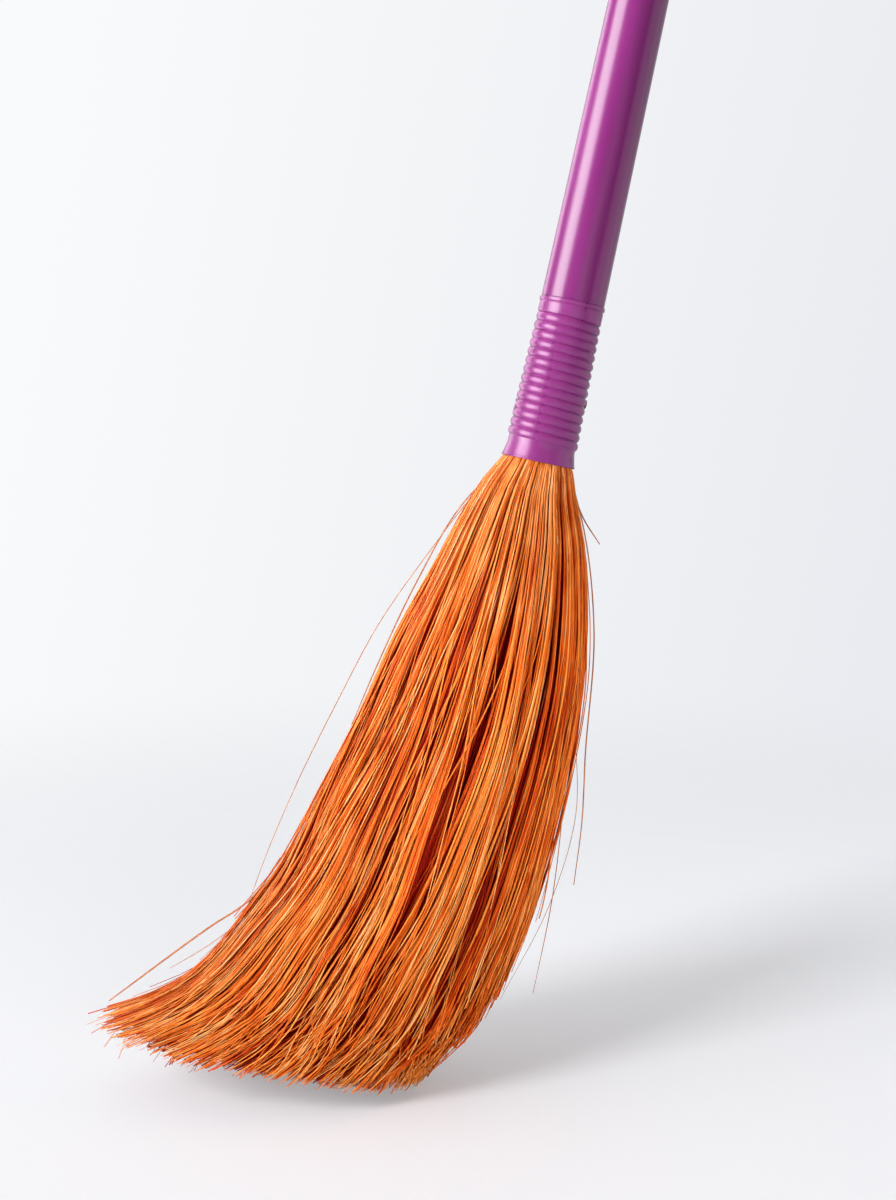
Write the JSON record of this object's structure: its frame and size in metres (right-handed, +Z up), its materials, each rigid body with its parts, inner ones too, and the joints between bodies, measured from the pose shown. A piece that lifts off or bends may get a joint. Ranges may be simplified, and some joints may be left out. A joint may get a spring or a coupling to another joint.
{
  "type": "broom",
  "caption": "One-hand broom: tapered tube handle with hanging eye, ribbed collar and a long fibre head swept to one side.",
  "frame": {"origin": "where the handle's axis meets the flat trimmed end of the fibres", "axes": "+Z up along the handle's axis, away from the fibres; -X towards the toe, where the fibres sweep; the head is symmetric across Y"},
  "size_m": [0.1908, 0.0942, 0.8795],
  "materials": {
    "handle_plastic": "gloss",
    "collar_plastic": "satin",
    "nail_steel": "satin",
    "peg_wood": "matte",
    "wire_steel": "satin",
    "grass_fibre": "satin"
  },
  "bodies": {
    "root": {"handle_tube": "handle_plastic", "hanger_cap": "handle_plastic", "ribbed_collar": "collar_plastic", "collar_nail_left": "nail_steel", "collar_nail_right": "nail_steel", "root_peg": "peg_wood", "peg_pin": "wire_steel", "binding_wire_1": "wire_steel", "binding_wire_2": "wire_steel", "binding_wire_3": "wire_steel", "outer_hank_01": "grass_fibre", "outer_hank_02": "grass_fibre", "outer_hank_03": "grass_fibre", "outer_hank_04": "grass_fibre", "outer_hank_05": "grass_fibre", "outer_hank_06": "grass_fibre", "outer_hank_07": "grass_fibre", "outer_hank_08": "grass_fibre", "outer_hank_09": "grass_fibre", "outer_hank_10": "grass_fibre", "outer_hank_11": "grass_fibre", "outer_hank_12": "grass_fibre", "outer_hank_13": "grass_fibre", "outer_hank_14": "grass_fibre", "inner_hank_01": "grass_fibre", "inner_hank_02": "grass_fibre", "inner_hank_03": "grass_fibre", "inner_hank_04": "grass_fibre", "inner_hank_05": "grass_fibre", "inner_hank_06": "grass_fibre", "inner_hank_07": "grass_fibre", "inner_hank_08": "grass_fibre", "core_hank": "grass_fibre"}
  },
  "joints": []
}
